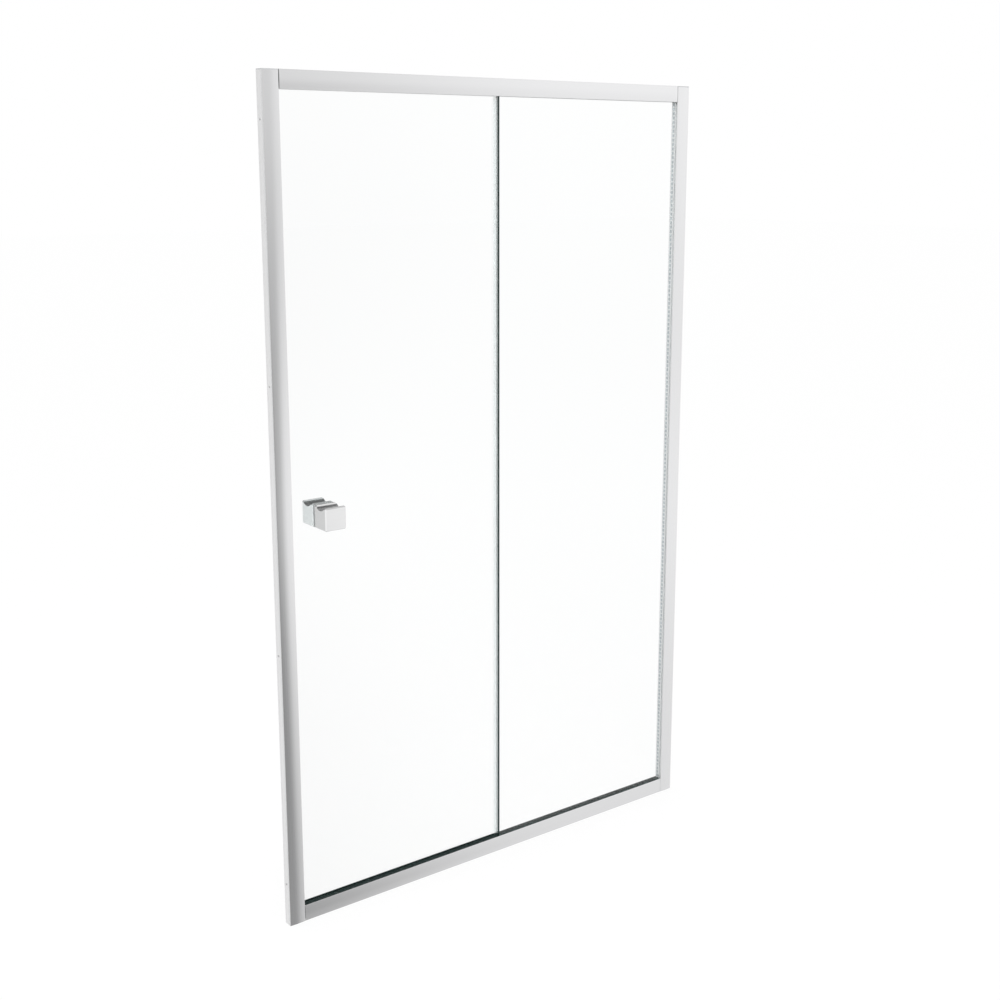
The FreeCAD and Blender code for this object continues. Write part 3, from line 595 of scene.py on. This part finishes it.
even.inputs["Strength"].default_value = 0.8
room = tree.nodes.new("ShaderNodeBackground")
white = tree.nodes.new("ShaderNodeBackground")
white.inputs["Color"].default_value = (1.0, 1.0, 1.0, 1.0)
metal_sees = tree.nodes.new("ShaderNodeMixShader")
eye_sees = tree.nodes.new("ShaderNodeMixShader")
looking = tree.nodes.new("ShaderNodeMath")
looking.operation = "MAXIMUM"
bounced = tree.nodes.new("ShaderNodeMath")
bounced.operation = "GREATER_THAN"
bounced.inputs[1].default_value = 0.5
reflecting = tree.nodes.new("ShaderNodeMath")
reflecting.operation = "MULTIPLY"
world_out = tree.nodes.new("ShaderNodeOutputWorld")
tree.links.new(sight.outputs["Generated"], split.inputs["Vector"])
tree.links.new(split.outputs["Y"], ahead.inputs[0])
tree.links.new(split.outputs["X"], bearing.inputs[0])
tree.links.new(ahead.outputs["Value"], bearing.inputs[1])
tree.links.new(bearing.outputs["Value"], centred.inputs[0])
tree.links.new(centred.outputs["Value"], off_centre.inputs[0])
tree.links.new(height.outputs["Result"], wide_band.inputs["Fac"])
tree.links.new(wide_band.outputs["Color"], widened.inputs[0])
tree.links.new(off_centre.outputs["Value"], widened.inputs[2])
tree.links.new(widened.outputs["Value"], beside.inputs["Value"])
tree.links.new(off_centre.outputs["Value"], behind.inputs["Value"])
tree.links.new(split.outputs["Z"], height.inputs["Value"])
tree.links.new(height.outputs["Result"], grey_front.inputs["Fac"])
tree.links.new(height.outputs["Result"], bright_side.inputs["Fac"])
tree.links.new(height.outputs["Result"], mid_back.inputs["Fac"])
tree.links.new(beside.outputs["Result"], front_and_sides.inputs["Factor"])
tree.links.new(grey_front.outputs["Color"], front_and_sides.inputs["A"])
tree.links.new(bright_side.outputs["Color"], front_and_sides.inputs["B"])
tree.links.new(behind.outputs["Result"], mirrored.inputs["Factor"])
tree.links.new(front_and_sides.outputs["Result"], mirrored.inputs["A"])
tree.links.new(mid_back.outputs["Color"], mirrored.inputs["B"])
tree.links.new(mirrored.outputs["Result"], room.inputs["Color"])
tree.links.new(path.outputs["Is Camera Ray"], looking.inputs[0])
tree.links.new(path.outputs["Is Transmission Ray"], looking.inputs[1])
tree.links.new(looking.outputs["Value"], eye_sees.inputs["Fac"])
tree.links.new(even.outputs["Background"], eye_sees.inputs[1])
tree.links.new(white.outputs["Background"], eye_sees.inputs[2])
tree.links.new(path.outputs["Glossy Depth"], bounced.inputs[0])
tree.links.new(path.outputs["Is Glossy Ray"], reflecting.inputs[0])
tree.links.new(bounced.outputs["Value"], reflecting.inputs[1])
tree.links.new(reflecting.outputs["Value"], metal_sees.inputs["Fac"])
tree.links.new(eye_sees.outputs["Shader"], metal_sees.inputs[1])
tree.links.new(room.outputs["Background"], metal_sees.inputs[2])
tree.links.new(metal_sees.outputs["Shader"], world_out.inputs["Surface"])


# Key light: one large soft box above and to the left of the camera, low enough in power that pale
# surfaces keep their colour.
bpy.ops.object.select_all(action="DESELECT")
bpy.ops.object.light_add(type="AREA", location=(-2.6, -3.2, 3.6))
soft_box = bpy.context.object
soft_box.name = "soft_box"
soft_box.data.size = 2.4
soft_box.data.energy = 60.0
soft_box.rotation_euler = (math.radians(52.0), 0.0, math.radians(-38.0))
soft_box.visible_glossy = False


# Camera: at the photograph's viewpoint, left of the door and above its middle. A small shift keeps the
# uprights nearly parallel, as they are there.
camera_tilt = math.radians(77.91)
camera_turn = math.radians(-37.11)
bpy.ops.object.camera_add(location=(-1.974, -2.624, 1.718))
camera = bpy.context.object
camera.name = "viewpoint"
camera.rotation_euler = (camera_tilt, 0.0, camera_turn)
camera.data.sensor_width = 36.0
camera.data.lens = 50.33
camera.data.shift_y = -0.04
bpy.context.scene.camera = camera
bpy.context.scene.view_settings.view_transform = "Standard"
